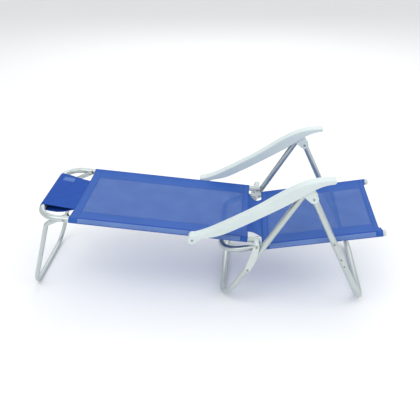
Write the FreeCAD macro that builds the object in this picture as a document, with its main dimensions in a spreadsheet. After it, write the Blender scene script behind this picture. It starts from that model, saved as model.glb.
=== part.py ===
import FreeCAD, Part
import math
import os
import Sketcher

# Folding sun lounger: aluminium tube frame, woven sling, sliding armrests.
# Millimetres. X runs from the head end (-) to the foot end (+), Y across the
# chair, Z up from the ground. Pieces that come in pairs stand at +Y ("left")
# and -Y ("right"), as the sitter sees them.

V = FreeCAD.Vector
doc = FreeCAD.newDocument("sun_lounger")

# ---------------------------------------------------------------- driving sizes
SIZES = {
    # tubes
    "tube_radius": 12.7,
    "tube_bore": 11.2,
    "head_tube_radius": 9.5,
    "head_tube_bore": 8.2,
    "cross_tube_radius": 9.5,
    "rail_half_width": 228.0,
    "leg_half_width": 264.0,
    "head_leg_half_width": 204.5,
    "main_bend": 80.0,
    "front_leg_bend": 120.0,
    "rear_leg_bend": 110.0,
    "head_leg_bend": 75.0,
    "head_kink_bend": 24.0,
    # seat frame, a U closed under the backrest
    "seat_slope": 9.6,
    "seat_datum_z": 218.8,
    "seat_tail_x": 84.0,
    "seat_front_x": 723.6,
    "cap_length": 8.0,
    "cross_tube_s": 572.0,
    "cross_tube_drop": 6.0,
    # backrest frame, a U closed at the head end
    "back_slope": 5.2,
    "hinge_x": 229.0,
    "hinge_z": 291.0,
    "head_bar_x": -655.0,
    "rail_past_hinge": 10.0,
    # front leg
    "front_foot_x": 670.0,
    "front_top_x": 436.0,
    "front_top_z": 505.0,
    "leg_past_pin": 8.0,
    # rear leg
    "rear_foot_x": 93.0,
    "rear_lean": 0.6053,
    "rear_top_z": 528.0,
    "link_pin_z": 182.0,
    # head leg
    "head_pin_x": -545.0,
    "head_kink_x": -631.0,
    "head_kink_z": 323.0,
    "head_foot_x": -723.0,
    # pins
    "pin_radius": 4.0,
    "pin_clearance": 0.06,
    "pin_head": 7.5,
    "small_head": 5.5,
    # hinge plates, bushes and links
    "plate_thickness": 3.0,
    "plate_radius": 10.5,
    "bush_radius": 11.0,
    "bush_end_y": 278.0,
    "link_inner_y": 278.4,
    "link_thickness": 7.0,
    "link_radius": 12.0,
    # armrests
    "arm_pin_x": -24.0,
    "arm_center_y": 264.4,
    "arm_width": 44.0,
    "arm_wall": 2.8,
    "arm_roof": 3.5,
    "arm_lug_radius": 18.0,
    "arm_edge": 4.0,
    "rack_width": 12.0,
    "notch_radius": 5.0,
    # knuckles
    "knuckle_width": 34.0,
    "knuckle_slot": 26.2,
    # fabric
    "sleeve_bore": 13.0,
    "sleeve_radius": 13.8,
    "cloth_thickness": 2.6,
    "cloth_low": 5.0,
    "eyelet_radius": 10.4,
    "seat_cloth_start_x": 251.0,
    "seat_cloth_end_x": 708.0,
    "back_cloth_end_x": 192.0,
    "back_cloth_start_x": -525.0,
    "pillow_half_width": 147.0,
    "bridge_half_width": 150.0,
}


def make_sheet():
    """The spreadsheet that holds every driving size under its alias."""
    table = doc.addObject("Spreadsheet::Sheet", "sizes")
    for row, (alias, value) in enumerate(SIZES.items(), start=1):
        table.set(f"A{row}", alias)
        table.set(f"B{row}", str(value))
        table.setAlias(f"B{row}", alias)
    doc.recompute()
    return table


sheet = make_sheet()


def size(alias):
    return float(sheet.get(alias))


# ------------------------------------------------------------- worked-out places
TUBE_R = size("tube_radius")
RAIL_Y = size("rail_half_width")
LEG_Y = size("leg_half_width")
SEAT_SLOPE = math.radians(size("seat_slope"))
BACK_SLOPE = math.radians(size("back_slope"))
HINGE = (size("hinge_x"), size("hinge_z"))


def seat_height(x):
    """Height of the seat rails' centre line."""
    return size("seat_datum_z") + x * math.tan(SEAT_SLOPE)


def back_height(x):
    """Height of the backrest rails' centre line."""
    return HINGE[1] + (HINGE[0] - x) * math.tan(BACK_SLOPE)


def line_crossing(p, q, height):
    """Where the line p-q meets the seat rails' centre line."""
    steps = 60
    low, high = 0.0, 1.0
    for _ in range(steps):
        mid = (low + high) / 2
        x = p[0] + (q[0] - p[0]) * mid
        z = p[1] + (q[1] - p[1]) * mid
        low, high = (mid, high) if z > height(x) else (low, mid)
    return x, z


FRONT_TOP = (size("front_top_x"), size("front_top_z"))
FRONT_FOOT = (size("front_foot_x"), TUBE_R)
FRONT_PIN = line_crossing(FRONT_TOP, FRONT_FOOT, seat_height)
REAR_FOOT = (size("rear_foot_x"), TUBE_R)


def rear_point(z):
    """A point on the rear leg's centre line."""
    return REAR_FOOT[0] + size("rear_lean") * (z - TUBE_R), z


REAR_TOP = rear_point(size("rear_top_z"))
LINK_PIN = rear_point(size("link_pin_z"))
ARM_PIN = (size("arm_pin_x"), back_height(size("arm_pin_x")))
HEAD_PIN = (size("head_pin_x"), back_height(size("head_pin_x")))
HEAD_KINK = (size("head_kink_x"), size("head_kink_z"))
HEAD_FOOT = (size("head_foot_x"), size("head_tube_radius"))
SEAT_TAIL = (size("seat_tail_x"), seat_height(size("seat_tail_x")))
SEAT_FRONT = (size("seat_front_x"), seat_height(size("seat_front_x")))
PLATE_FOOT_X = HINGE[0] + 11.0
PLATE_FOOT = (PLATE_FOOT_X, seat_height(PLATE_FOOT_X))
HEAD_BAR = (size("head_bar_x"), back_height(size("head_bar_x")))
BACK_END = (HINGE[0] + size("rail_past_hinge") * math.cos(BACK_SLOPE),
            HINGE[1] - size("rail_past_hinge") * math.sin(BACK_SLOPE))

BRACE = (size("cross_tube_s") * math.cos(SEAT_SLOPE) + size("cross_tube_drop") * math.sin(SEAT_SLOPE),
         size("seat_datum_z") + size("cross_tube_s") * math.sin(SEAT_SLOPE)
         - size("cross_tube_drop") * math.cos(SEAT_SLOPE))


# ------------------------------------------------------------------ CAD helpers
def turn_about_y(direction):
    """Rotation that takes local +X to a direction in the XZ plane."""
    angle = math.degrees(math.atan2(-direction[1], direction[0]))
    return FreeCAD.Rotation(V(0, 1, 0), angle)


def between(start, end):
    """Unit direction and length from start to end in the XZ plane."""
    dx, dz = end[0] - start[0], end[1] - start[1]
    length = math.hypot(dx, dz)
    return (dx / length, dz / length), length


def along(start, direction, distance, off=0.0):
    """A point at a distance along a direction and off to its left."""
    return (start[0] + direction[0] * distance - direction[1] * off,
            start[1] + direction[1] * distance + direction[0] * off)


def to_local(point, origin, direction):
    """Coordinates of a side-plane point in a frame at origin along direction."""
    dx, dz = point[0] - origin[0], point[1] - origin[1]
    return (dx * direction[0] + dz * direction[1],
            dz * direction[0] - dx * direction[1])


def new_body(label):
    body = doc.addObject("PartDesign::Body", label)
    body.Label = label
    return body


def plane_of(body, role):
    for feature in body.Origin.OriginFeatures:
        if feature.Role == role:
            return feature
    raise ValueError(role)


def new_sketch(body, name, role, offset=None):
    sketch = body.newObject("Sketcher::SketchObject", name)
    sketch.AttachmentSupport = (plane_of(body, role), [""])
    sketch.MapMode = "FlatFace"
    if offset is not None:
        sketch.AttachmentOffset = FreeCAD.Placement(offset, FreeCAD.Rotation())
    return sketch


def add_circle(sketch, center, alias=None, radius=None, expression=None):
    """A circle whose radius is bound to the sheet."""
    value = size(alias) if alias else radius
    index = sketch.addGeometry(Part.Circle(V(center[0], center[1], 0), V(0, 0, 1), value))
    rule = sketch.addConstraint(Sketcher.Constraint("Radius", index, value))
    if alias or expression:
        sketch.setExpression(f"Constraints[{rule}]", expression or f"sizes.{alias}")
    return index


def add_polygon(sketch, points):
    for start, end in zip(points, points[1:] + points[:1]):
        sketch.addGeometry(Part.LineSegment(V(*start, 0), V(*end, 0)))


def add_hull(sketch, circles):
    """Convex outline round circles (x, y, radius) given anticlockwise."""
    tangents = []
    for (x1, y1, r1), (x2, y2, r2) in zip(circles, circles[1:] + circles[:1]):
        span = math.hypot(x2 - x1, y2 - y1)
        heading = math.atan2(y2 - y1, x2 - x1)
        normal = heading - math.acos((r1 - r2) / span)
        start = (x1 + r1 * math.cos(normal), y1 + r1 * math.sin(normal))
        end = (x2 + r2 * math.cos(normal), y2 + r2 * math.sin(normal))
        tangents.append((start, end, normal))
    for i, (start, end, normal) in enumerate(tangents):
        sketch.addGeometry(Part.LineSegment(V(*start, 0), V(*end, 0)))
        x, y, r = circles[(i + 1) % len(circles)]
        follow, _, next_normal = tangents[(i + 1) % len(tangents)]
        middle = normal + ((next_normal - normal) % (2 * math.pi)) / 2
        bulge = (x + r * math.cos(middle), y + r * math.sin(middle))
        sketch.addGeometry(Part.Arc(V(*end, 0), V(*bulge, 0), V(*follow, 0)))


def pad(body, sketch, name, length=None, expression=None):
    """Pad a sketch equally to both sides."""
    feature = body.newObject("PartDesign::Pad", name)
    feature.Profile = sketch
    feature.SideType = "Symmetric"
    feature.Length = length if length else 1.0
    if expression:
        feature.setExpression("Length", expression)
    return feature


def pocket(body, sketch, name, length=None, expression=None):
    """Cut a sketch equally to both sides, and check that it cut."""
    doc.recompute()
    before = body.Shape.Volume
    feature = body.newObject("PartDesign::Pocket", name)
    feature.Profile = sketch
    feature.SideType = "Symmetric"
    feature.Length = length if length else 1.0
    if expression:
        feature.setExpression("Length", expression)
    doc.recompute()
    if not body.Shape.Volume < before - 1e-3:
        raise RuntimeError(f"{body.Label}: {name} cuts nothing")
    return feature


def drill(body, name, centers, radius_expression, reach):
    """Round holes along Y through everything within reach of the centre plane."""
    sketch = new_sketch(body, f"{name}_sketch", "XZ_Plane")
    for center in centers:
        add_circle(sketch, center, radius=size("pin_radius"), expression=radius_expression)
    return pocket(body, sketch, name, length=reach)


RUNNING_HOLE = "sizes.pin_radius + sizes.pin_clearance"
TIGHT_HOLE = "sizes.pin_radius"
NODES = {}


def keep(label, thing):
    """Register an object as a sub-part under its label."""
    thing.Label = label
    NODES[label] = thing
    return thing


# ---------------------------------------------------------------------- frames
def bent_tube(label, bar, arm_end, half_width, bend, holes=()):
    """A tube bent into a U: the bar at one end, two straight arms to arm_end.

    holes: (side-plane point, radius expression) drilled through both arms.
    """
    direction, length = between(bar, arm_end)
    body = new_body(label)
    spine = new_sketch(body, f"{label}_spine", "XY_Plane")
    corner = bend * math.sqrt(0.5)
    for side in (-1, 1):
        arm = side * half_width
        inner = side * (half_width - bend)
        spine.addGeometry(Part.LineSegment(V(length, arm, 0), V(bend, arm, 0)))
        spine.addGeometry(Part.Arc(V(bend, arm, 0), V(bend - corner, inner + side * corner, 0),
                                   V(0, inner, 0)))
    spine.addGeometry(Part.LineSegment(V(0, bend - half_width, 0), V(0, half_width - bend, 0)))
    profile = new_sketch(body, f"{label}_profile", "YZ_Plane", V(0, 0, length))
    add_circle(profile, (-half_width, 0), "tube_radius")
    add_circle(profile, (-half_width, 0), "tube_bore")
    pipe = body.newObject("PartDesign::AdditivePipe", f"{label}_pipe")
    pipe.Profile = profile
    pipe.Spine = (spine, [])
    doc.recompute()
    for number, (point, expression) in enumerate(holes, start=1):
        drill(body, f"{label}_hole{number}", [to_local(point, bar, direction)], expression,
              2 * half_width + 4 * size("tube_radius"))
    body.Placement = FreeCAD.Placement(V(bar[0], 0, bar[1]), turn_about_y(direction))
    return keep(label, body)


def swept_tube(points, bend_radii, outer, inner):
    """A hollow tube through 3-D points with tangent arcs at the corners."""
    edges = []
    cursor = points[0]
    for corner, after, radius in zip(points[1:-1], points[2:], bend_radii):
        incoming = (corner - cursor).normalize()
        outgoing = (after - corner).normalize()
        turn = incoming.getAngle(outgoing)
        setback = radius * math.tan(turn / 2)
        start = corner - incoming * setback
        end = corner + outgoing * setback
        inward = (outgoing - incoming).normalize()
        middle = corner + inward * (radius / math.cos(turn / 2) - radius)
        edges.append(Part.LineSegment(cursor, start).toShape())
        edges.append(Part.Arc(start, middle, end).toShape())
        cursor = end
    edges.append(Part.LineSegment(cursor, points[-1]).toShape())
    path = Part.Wire(edges)
    heading = (points[1] - points[0]).normalize()
    solids = []
    for radius in (outer, inner):
        ring = Part.Wire([Part.makeCircle(radius, points[0], heading)])
        solids.append(path.makePipeShell([ring], True, False))
    return solids[0].cut(solids[1])


def make_head_leg():
    """Kinked U of thinner tube that props the head end."""
    half = size("head_leg_half_width")
    outer = size("head_tube_radius")
    toward, _ = between(HEAD_KINK, HEAD_PIN)
    top = along(HEAD_PIN, toward, outer + 2.0)
    path = []
    for side in (-1, 1):
        arm = [V(top[0], side * half, top[1]), V(HEAD_KINK[0], side * half, HEAD_KINK[1]),
               V(HEAD_FOOT[0], side * half, HEAD_FOOT[1])]
        path += arm if side < 0 else arm[::-1]
    bends = [size("head_kink_bend"), size("head_leg_bend"), size("head_leg_bend"),
             size("head_kink_bend")]
    tube = swept_tube(path, bends, outer, size("head_tube_bore"))
    hole = size("pin_radius") + size("pin_clearance")
    drill_bit = Part.makeCylinder(hole, 2 * half + 40, V(HEAD_PIN[0], -half - 20, HEAD_PIN[1]),
                                  V(0, 1, 0))
    feature = doc.addObject("Part::Feature", "head_leg_tube")
    feature.Shape = tube.cut(drill_bit)
    return keep("head_leg_tube", feature)


def make_cross_tube():
    """Straight brace between the seat rails, under the sling."""
    half = RAIL_Y - TUBE_R - 0.1
    outer = doc.addObject("Part::Cylinder", "cross_tube_outside")
    bore = doc.addObject("Part::Cylinder", "cross_tube_bore")
    outer.setExpression("Radius", "sizes.cross_tube_radius")
    bore.setExpression("Radius", "sizes.cross_tube_radius - 1.3")
    for cylinder in (outer, bore):
        cylinder.setExpression("Height", "2 * (sizes.rail_half_width - sizes.tube_radius - 0.1)")
        cylinder.Placement = FreeCAD.Placement(V(BRACE[0], half, BRACE[1]),
                                               FreeCAD.Rotation(V(1, 0, 0), 90))
    tube = doc.addObject("Part::Cut", "seat_cross_tube")
    tube.Base, tube.Tool = outer, bore
    return keep("seat_cross_tube", tube)


# ------------------------------------------------------------- turned small parts
def turned_body(label, outline):
    """A round part from its half outline: (along the Y axis, radius) points."""
    body = new_body(label)
    sketch = new_sketch(body, f"{label}_sketch", "XY_Plane")
    add_polygon(sketch, [(radius, place) for place, radius in outline])
    turned = body.newObject("PartDesign::Revolution", f"{label}_turned")
    turned.Profile = sketch
    turned.ReferenceAxis = (sketch, ["V_Axis"])
    turned.Angle = 360
    return body


def rivet_outline(start, end, head, inner_head=True, height=2.2, dome=0.55):
    """Half outline of a rivet with its shank between start and end."""
    shank = size("pin_radius")
    outline = [(start, 0.0)]
    if inner_head:
        outline = [(start - height, 0.0), (start - height, head * dome),
                   (start - height * 0.4, head * 0.93), (start, head), (start, shank)]
    else:
        outline.append((start, shank))
    outline += [(end, shank), (end, head), (end + height * 0.4, head * 0.93),
                (end + height, head * dome), (end + height, 0.0)]
    return outline


def ring_outline(start, end, inner, outer, edge=0.6):
    """Half outline of a bush with broken outer edges."""
    return [(start, inner), (start, outer - edge), (start + edge, outer),
            (end - edge, outer), (end, outer - edge), (end, inner)]


def pair(label, outline, point):
    """The same turned part at +Y and -Y, kept as one node of two solids."""
    twins = []
    for side, word in ((1, "left"), (-1, "right")):
        body = turned_body(f"{label}_{word}", outline)
        turn = FreeCAD.Rotation() if side > 0 else FreeCAD.Rotation(V(1, 0, 0), 180)
        body.Placement = FreeCAD.Placement(V(point[0], 0, point[1]), turn)
        twins.append(body)
    group = doc.addObject("Part::Compound", label)
    group.Links = twins
    return keep(label, group)


def single(label, outline, point, side):
    """One turned part on one side of the chair."""
    body = turned_body(label, outline)
    turn = FreeCAD.Rotation() if side > 0 else FreeCAD.Rotation(V(1, 0, 0), 180)
    body.Placement = FreeCAD.Placement(V(point[0], 0, point[1]), turn)
    return keep(label, body)


# ---------------------------------------------------------------- pressed plates
def flat_piece(label, circles, center_y, thickness_expression, holes, edge=0.0):
    """A flat piece in the XZ plane, rounded round its circles, with round holes."""
    body = new_body(label)
    sketch = new_sketch(body, f"{label}_outline", "XZ_Plane")
    add_hull(sketch, circles)
    base = pad(body, sketch, f"{label}_pad", expression=thickness_expression)
    doc.recompute()
    if edge:
        rounding = body.newObject("PartDesign::Fillet", f"{label}_edges")
        rounding.Base = (base, [f"Face{i}" for i in flat_faces(base.Shape)])
        rounding.Radius = edge
        doc.recompute()
    for number, (point, expression) in enumerate(holes, start=1):
        drill(body, f"{label}_hole{number}", [point], expression, 120)
    body.Placement = FreeCAD.Placement(V(0, center_y, 0), FreeCAD.Rotation())
    return body


def flat_faces(shape):
    """Numbers of the faces that look along Y."""
    found = []
    for number, face in enumerate(shape.Faces, start=1):
        if abs(face.normalAt(0.5, 0.5).y) > 0.99:
            found.append(number)
    return found


def make_hinge_plates():
    """Plates inside the rails that carry the backrest on the seat frame."""
    radius = size("plate_radius")
    y = RAIL_Y - TUBE_R - size("plate_thickness") / 2 - 0.1
    plates = []
    for side, word in ((1, "left"), (-1, "right")):
        plate = flat_piece(f"hinge_plate_{word}",
                           [(HINGE[0], HINGE[1], radius),
                            (PLATE_FOOT[0] - 9, PLATE_FOOT[1] - 2, 9.0),
                            (PLATE_FOOT[0] - 1, PLATE_FOOT[1] - 1, 9.0)],
                           side * y, "sizes.plate_thickness",
                           [(HINGE, TIGHT_HOLE), (PLATE_FOOT, TIGHT_HOLE)])
        plates.append(keep(f"hinge_plate_{word}", plate))
    return plates


def make_links():
    """Links from the hinge axis down to the rear legs."""
    radius = size("link_radius")
    elbow = ((HINGE[0] + LINK_PIN[0]) / 2 + 7, (HINGE[1] + LINK_PIN[1]) / 2 - 4)
    y = size("link_inner_y") + size("link_thickness") / 2
    for side, word in ((1, "left"), (-1, "right")):
        link = flat_piece(f"link_{word}",
                          [(LINK_PIN[0], LINK_PIN[1], radius), (elbow[0], elbow[1], radius),
                           (HINGE[0], HINGE[1], radius)],
                          side * y, "sizes.link_thickness",
                          [(HINGE, RUNNING_HOLE), (LINK_PIN, TIGHT_HOLE)], edge=2.6)
        keep(f"link_{word}", link)


# --------------------------------------------------------------------- knuckles
KNUCKLE_NOSE = (424.0, 538.0)


def make_knuckles():
    """Moulded knuckles that join the tops of both legs under the armrests."""
    for side, word in ((1, "left"), (-1, "right")):
        label = f"knuckle_{word}"
        body = new_body(label)
        outline = new_sketch(body, f"{label}_outline", "XZ_Plane")
        add_hull(outline, [(FRONT_TOP[0], FRONT_TOP[1], 18.0), (KNUCKLE_NOSE[0], KNUCKLE_NOSE[1], 9.0),
                           (REAR_TOP[0], REAR_TOP[1], 15.0)])
        block = pad(body, outline, f"{label}_block", expression="sizes.knuckle_width")
        doc.recompute()
        rounding = body.newObject("PartDesign::Fillet", f"{label}_edges")
        rounding.Base = (block, [f"Face{i}" for i in flat_faces(block.Shape)])
        rounding.Radius = 1.6
        slot = new_sketch(body, f"{label}_slot_outline", "XZ_Plane")
        lower = 40.0
        add_polygon(slot, [
            (REAR_TOP[0] - lower, REAR_TOP[1] + 20), (REAR_TOP[0] - 2, REAR_TOP[1] + 20),
            (REAR_TOP[0] + 9, REAR_TOP[1] + 10.5), (FRONT_TOP[0] - 12, FRONT_TOP[1] + 20.5),
            (FRONT_TOP[0] + 6, FRONT_TOP[1] + 16.5), (FRONT_TOP[0] + 30, FRONT_TOP[1] + 2),
            (FRONT_TOP[0] + 30, FRONT_TOP[1] - lower), (REAR_TOP[0] - lower, FRONT_TOP[1] - lower)])
        pocket(body, slot, f"{label}_slot", expression="sizes.knuckle_slot")
        drill(body, f"{label}_front_hole", [FRONT_TOP], RUNNING_HOLE, 60)
        drill(body, f"{label}_rear_hole", [REAR_TOP], TIGHT_HOLE, 60)
        body.Placement = FreeCAD.Placement(V(0, side * LEG_Y, 0), FreeCAD.Rotation())
        keep(label, body)


# --------------------------------------------------------------------- armrests
ARM_UNDERSIDE = [(10, 322), (37, 328), (77, 338), (126, 360), (217, 410), (305, 461),
                 (370, 502), (408, 529), (455, 558), (508, 573)]
ARM_TOP = [(507, 586), (449, 580), (414, 571), (379, 556), (319, 521), (236, 465),
           (161, 420), (85, 378), (20, 346), (-24, 331.5)]
RACK_EDGE = [(203, 434), (252, 451), (300, 474), (336, 497), (360, 516), (384, 539.5),
             (402, 551), (428, 557)]
RACK_TOP = [(428, 573), (379, 553), (319, 518), (236, 462), (203, 443)]
NOTCHES = [(262, 453), (300, 472), (336, 495), (370, 523)]


def curve_through(points):
    curve = Part.BSplineCurve()
    curve.interpolate([V(x, z, 0) for x, z in points])
    return curve


def armrest_outline(body, label):
    """Side view of the armrest, with the pivot lug at its rear end."""
    radius = size("arm_lug_radius")
    outline = new_sketch(body, f"{label}_outline", "XZ_Plane")
    outline.addGeometry(curve_through(ARM_UNDERSIDE))
    outline.addGeometry(curve_through(ARM_TOP))
    low, high = ARM_UNDERSIDE[-1], ARM_TOP[0]
    outline.addGeometry(Part.Arc(V(*low, 0), V(high[0] + 6, 580, 0), V(*high, 0)))
    rear = V(ARM_PIN[0], ARM_PIN[1] - radius, 0)
    outline.addGeometry(Part.Arc(V(*ARM_TOP[-1], 0), V(ARM_PIN[0] - radius, ARM_PIN[1], 0), rear))
    outline.addGeometry(Part.Arc(rear, V(ARM_PIN[0] + 18, ARM_PIN[1] - 6, 0),
                                 V(*ARM_UNDERSIDE[0], 0)))
    return outline


def add_channel(body, label):
    """Hollow the armrest from below and leave the rack web inside it."""
    roof = size("arm_roof") + 0.7
    ceiling = [(500, 581.6)] + [(x, z - roof) for x, z in ARM_TOP[1:-1]]
    hollow = new_sketch(body, f"{label}_hollow_outline", "XZ_Plane")
    hollow.addGeometry(curve_through(ceiling))
    add_walls(hollow, [ceiling[-1], (ceiling[-1][0], 270), (500, 270), ceiling[0]])
    pocket(body, hollow, f"{label}_hollow", expression="sizes.arm_width - 2 * sizes.arm_wall")
    rack = new_sketch(body, f"{label}_rack_outline", "XZ_Plane")
    rack.addGeometry(curve_through(RACK_EDGE))
    rack.addGeometry(curve_through(RACK_TOP))
    add_walls(rack, [RACK_EDGE[-1], RACK_TOP[0]])
    add_walls(rack, [RACK_TOP[-1], RACK_EDGE[0]])
    pad(body, rack, f"{label}_rack", expression="sizes.rack_width")
    notches = new_sketch(body, f"{label}_notch_outline", "XZ_Plane")
    for center in NOTCHES:
        add_circle(notches, center, "notch_radius")
    pocket(body, notches, f"{label}_notches", expression="sizes.rack_width + 0.2")


def make_armrests():
    """Curved channels, open below, hinged on the backrest at the rear lug."""
    for side, word in ((1, "left"), (-1, "right")):
        label = f"armrest_{word}"
        body = new_body(label)
        block = pad(body, armrest_outline(body, label), f"{label}_block",
                    expression="sizes.arm_width")
        doc.recompute()
        rounding = body.newObject("PartDesign::Fillet", f"{label}_edges")
        rounding.Base = (block, [f"Edge{i}" for i in upper_edges(block.Shape)])
        rounding.setExpression("Radius", "sizes.arm_edge")
        add_channel(body, label)
        drill(body, f"{label}_pin", [ARM_PIN], RUNNING_HOLE, 80)
        body.Placement = FreeCAD.Placement(V(0, side * size("arm_center_y"), 0),
                                           FreeCAD.Rotation())
        keep(label, body)


def add_walls(sketch, points):
    for start, end in zip(points, points[1:]):
        sketch.addGeometry(Part.LineSegment(V(*start, 0), V(*end, 0)))


def upper_edges(shape):
    """Numbers of the long edges of the armrest's top and of its tip."""
    found = []
    for number, edge in enumerate(shape.Edges, start=1):
        box = edge.BoundBox
        lengthwise = box.YLength < 0.01
        if lengthwise and (box.XLength > 300 and edge.CenterOfMass.z > 455 or box.XMin > 505):
            found.append(number)
    return found


# ----------------------------------------------------------------------- fabric
def fabric_panel(label, origin, direction, start, end, holes):
    """Sling between two rails: a sheet with a sleeve round each rail.

    holes: side-plane points where a pin and its spacer pass the sleeves.
    """
    length = end - start
    sheet_box = doc.addObject("Part::Box", f"{label}_sheet")
    sheet_box.setExpression("Width", "2 * sizes.rail_half_width")
    sheet_box.setExpression("Height", "sizes.cloth_thickness")
    sheet_box.Length = length
    sheet_box.Placement = FreeCAD.Placement(V(start, -RAIL_Y, size("cloth_low")),
                                            FreeCAD.Rotation())
    solids, bores = [sheet_box], []
    along_x = FreeCAD.Rotation(V(0, 1, 0), 90)
    for side, word in ((1, "left"), (-1, "right")):
        sleeve = doc.addObject("Part::Cylinder", f"{label}_sleeve_{word}")
        sleeve.setExpression("Radius", "sizes.sleeve_radius")
        bore = doc.addObject("Part::Cylinder", f"{label}_bore_{word}")
        bore.setExpression("Radius", "sizes.sleeve_bore")
        for cylinder, extra in ((sleeve, 0.0), (bore, 5.0)):
            cylinder.Height = length + 2 * extra
            cylinder.Placement = FreeCAD.Placement(V(start - extra, side * RAIL_Y, 0), along_x)
        solids.append(sleeve)
        bores.append(bore)
    for number, point in enumerate(holes, start=1):
        local = to_local(point, origin, direction)
        for side, word in ((1, "left"), (-1, "right")):
            eyelet = doc.addObject("Part::Cylinder", f"{label}_eyelet{number}_{word}")
            eyelet.setExpression("Radius", "sizes.eyelet_radius")
            eyelet.setExpression("Height", "3 * sizes.tube_radius")
            eyelet.Placement = FreeCAD.Placement(
                V(local[0], side * RAIL_Y + 1.5 * TUBE_R, local[1]),
                FreeCAD.Rotation(V(1, 0, 0), 90))
            bores.append(eyelet)
    whole = doc.addObject("Part::MultiFuse", f"{label}_whole")
    whole.Shapes = solids
    holes_tool = doc.addObject("Part::MultiFuse", f"{label}_bores")
    holes_tool.Shapes = bores
    panel = doc.addObject("Part::Cut", label)
    panel.Base, panel.Tool = whole, holes_tool
    panel.Placement = FreeCAD.Placement(V(origin[0], 0, origin[1]), turn_about_y(direction))
    return keep(label, panel)


def make_hinge_cloth():
    """The narrow part of the sling that crosses the hinge."""
    body = new_body("hinge_cloth")
    sketch = new_sketch(body, "hinge_cloth_section", "XZ_Plane")
    start, end = (194.3, 299.2), (248.4, 269.0)
    direction, length = between(start, end)
    thick = size("cloth_thickness")
    add_polygon(sketch, [along(start, direction, d, off) for d, off in
                         ((0, -thick / 2), (length, -thick / 2), (length, thick / 2),
                          (0, thick / 2))])
    pad(body, sketch, "hinge_cloth_strip", expression="2 * sizes.bridge_half_width")
    return keep("hinge_cloth", body)


def make_pillow():
    """Padded head sleeve that wraps the head bar and meets the sling's edge."""
    body = new_body("head_pillow")
    sketch = new_sketch(body, "head_pillow_section", "XZ_Plane")
    add_hull(sketch, [(0, 0, 20.0), (121.0, 6.5, 8.0)])
    pad(body, sketch, "head_pillow_pad", expression="2 * sizes.pillow_half_width")
    doc.recompute()
    bar = new_sketch(body, "head_pillow_bar_hole", "XZ_Plane")
    add_circle(bar, (0, 0), "sleeve_bore")
    pocket(body, bar, "head_pillow_bar", expression="2 * sizes.pillow_half_width + 20")
    direction, _ = between(HEAD_BAR, BACK_END)
    body.Placement = FreeCAD.Placement(V(HEAD_BAR[0], 0, HEAD_BAR[1]), turn_about_y(direction))
    return keep("head_pillow", body)


# -------------------------------------------------------------------- tube plugs
def plug_pair(label, end_point, direction, depth, height, outer):
    """Moulded plugs in the open ends of both rails."""
    inner = size("tube_bore") - 0.1
    outline = [(-depth, 0.0), (-depth, inner - 0.6), (0.6 - depth, inner), (0.1, inner),
               (0.1, outer), (height * 0.5, outer), (height * 0.88, outer * 0.8),
               (height, outer * 0.45), (height, 0.0)]
    turn = FreeCAD.Rotation(V(0, 1, 0), V(direction[0], 0, direction[1]))
    twins = []
    for side, word in ((1, "left"), (-1, "right")):
        body = turned_body(f"{label}_{word}", outline)
        body.Placement = FreeCAD.Placement(V(end_point[0], side * RAIL_Y, end_point[1]), turn)
        twins.append(body)
    group = doc.addObject("Part::Compound", label)
    group.Links = twins
    return keep(label, group)


# ---------------------------------------------------------------- whole assembly
def make_seat():
    """Seat frame, its brace, hinge hardware and sling."""
    bent_tube("seat_frame_tube", SEAT_TAIL, SEAT_FRONT, RAIL_Y, size("main_bend"),
              [(FRONT_PIN, TIGHT_HOLE), (PLATE_FOOT, TIGHT_HOLE), (BRACE, TIGHT_HOLE)])
    make_cross_tube()
    make_hinge_plates()
    direction, _ = between(SEAT_TAIL, SEAT_FRONT)
    plug_pair("seat_end_caps", SEAT_FRONT, direction, 18.0, size("cap_length"), TUBE_R + 0.4)
    pin_head = size("pin_head")
    plate_face = RAIL_Y - TUBE_R - size("plate_thickness") - 0.2
    pair("hinge_pins", rivet_outline(plate_face, 285.8, pin_head), HINGE)
    pair("hinge_plate_rivets", rivet_outline(plate_face, RAIL_Y + TUBE_R + 0.1,
                                             size("small_head"), height=1.6), PLATE_FOOT)
    pair("hinge_spacer_bushes", ring_outline(RAIL_Y + TUBE_R + 0.3, size("bush_end_y"),
                                             size("pin_radius"), size("bush_radius")), HINGE)
    pair("front_leg_pivot_pins", rivet_outline(RAIL_Y - TUBE_R - 0.1, LEG_Y + TUBE_R + 0.3,
                                               pin_head), FRONT_PIN)
    pair("front_leg_spacers", ring_outline(RAIL_Y + TUBE_R + 0.1, LEG_Y - TUBE_R - 0.2,
                                           size("pin_radius"), 9.0), FRONT_PIN)
    plug_face = RAIL_Y - TUBE_R - 0.1
    pair("cross_tube_plugs", [(plug_face - 16, 0.0), (plug_face - 16, 7.6),
                              (plug_face - 15, 8.1), (plug_face, 8.1), (plug_face, 4.0),
                              (RAIL_Y + TUBE_R - 1.1, 4.0), (RAIL_Y + TUBE_R - 1.1, 0.0)], BRACE)
    fabric_panel("seat_cloth", (0, size("seat_datum_z")), direction,
                 size("seat_cloth_start_x") / math.cos(SEAT_SLOPE),
                 size("seat_cloth_end_x") / math.cos(SEAT_SLOPE), [FRONT_PIN, BRACE])
    make_hinge_cloth()


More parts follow.
